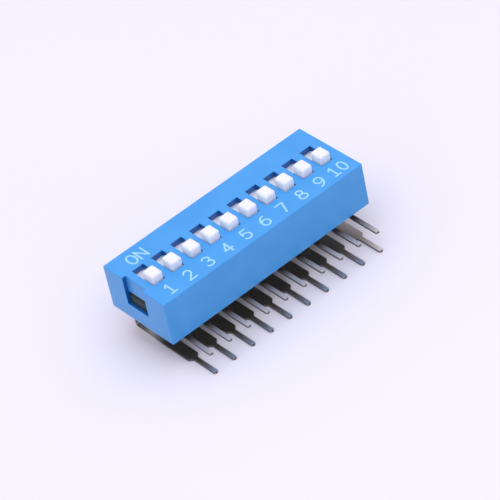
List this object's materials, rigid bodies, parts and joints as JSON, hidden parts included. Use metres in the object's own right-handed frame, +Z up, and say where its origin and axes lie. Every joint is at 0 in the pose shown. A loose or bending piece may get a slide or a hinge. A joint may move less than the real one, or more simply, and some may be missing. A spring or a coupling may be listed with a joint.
{
  "type": "right-angle slide dip switch",
  "caption": "Right-angle slide dip switch: blue clip-on cover over a dark base, white sliders in slots on top, and tinned flat leads bent in two rows toward the front.",
  "frame": {"origin": "middle of the bounding box in X and Y, at the height of the undersides of the lower leads, on which the switch lies", "axes": "+X along the row of positions, from position 1 to position 10; -Y the way the leads point, out of the face that meets the board; +Z up, out of the face that carries the sliders"},
  "size_m": [0.027, 0.013, 0.0098],
  "materials": {
    "cover_plastic": "satin moulded blue",
    "base_plastic": "dull moulded dark grey",
    "slider_plastic": "satin moulded white",
    "wiper_metal": "bright plated spring strip",
    "tinned_lead": "satin tin plating"
  },
  "bodies": {
    "housing": {"cover": "cover_plastic", "base": "base_plastic", "upper_lead_1": "tinned_lead", "upper_lead_2": "tinned_lead", "upper_lead_3": "tinned_lead", "upper_lead_4": "tinned_lead", "upper_lead_5": "tinned_lead", "upper_lead_6": "tinned_lead", "upper_lead_7": "tinned_lead", "upper_lead_8": "tinned_lead", "upper_lead_9": "tinned_lead", "upper_lead_10": "tinned_lead", "lower_lead_1": "tinned_lead", "lower_lead_2": "tinned_lead", "lower_lead_3": "tinned_lead", "lower_lead_4": "tinned_lead", "lower_lead_5": "tinned_lead", "lower_lead_6": "tinned_lead", "lower_lead_7": "tinned_lead", "lower_lead_8": "tinned_lead", "lower_lead_9": "tinned_lead", "lower_lead_10": "tinned_lead"},
    "switch_1": {"slider_1": "slider_plastic", "wiper_1": "wiper_metal"},
    "switch_2": {"slider_2": "slider_plastic", "wiper_2": "wiper_metal"},
    "switch_3": {"slider_3": "slider_plastic", "wiper_3": "wiper_metal"},
    "switch_4": {"slider_4": "slider_plastic", "wiper_4": "wiper_metal"},
    "switch_5": {"slider_5": "slider_plastic", "wiper_5": "wiper_metal"},
    "switch_6": {"slider_6": "slider_plastic", "wiper_6": "wiper_metal"},
    "switch_7": {"slider_7": "slider_plastic", "wiper_7": "wiper_metal"},
    "switch_8": {"slider_8": "slider_plastic", "wiper_8": "wiper_metal"},
    "switch_9": {"slider_9": "slider_plastic", "wiper_9": "wiper_metal"},
    "switch_10": {"slider_10": "slider_plastic", "wiper_10": "wiper_metal"}
  },
  "joints": [
    {"name": "switch_1_slide", "type": "slide", "parent": "housing", "child": "switch_1", "axis": [0, 1, 0], "range_m": [0, 0.0017]},
    {"name": "switch_2_slide", "type": "slide", "parent": "housing", "child": "switch_2", "axis": [0, 1, 0], "range_m": [0, 0.0017]},
    {"name": "switch_3_slide", "type": "slide", "parent": "housing", "child": "switch_3", "axis": [0, 1, 0], "range_m": [0, 0.0017]},
    {"name": "switch_4_slide", "type": "slide", "parent": "housing", "child": "switch_4", "axis": [0, 1, 0], "range_m": [0, 0.0017]},
    {"name": "switch_5_slide", "type": "slide", "parent": "housing", "child": "switch_5", "axis": [0, 1, 0], "range_m": [0, 0.0017]},
    {"name": "switch_6_slide", "type": "slide", "parent": "housing", "child": "switch_6", "axis": [0, 1, 0], "range_m": [0, 0.0017]},
    {"name": "switch_7_slide", "type": "slide", "parent": "housing", "child": "switch_7", "axis": [0, 1, 0], "range_m": [0, 0.0017]},
    {"name": "switch_8_slide", "type": "slide", "parent": "housing", "child": "switch_8", "axis": [0, 1, 0], "range_m": [0, 0.0017]},
    {"name": "switch_9_slide", "type": "slide", "parent": "housing", "child": "switch_9", "axis": [0, 1, 0], "range_m": [0, 0.0017]},
    {"name": "switch_10_slide", "type": "slide", "parent": "housing", "child": "switch_10", "axis": [0, 1, 0], "range_m": [0, 0.0017]}
  ]
}
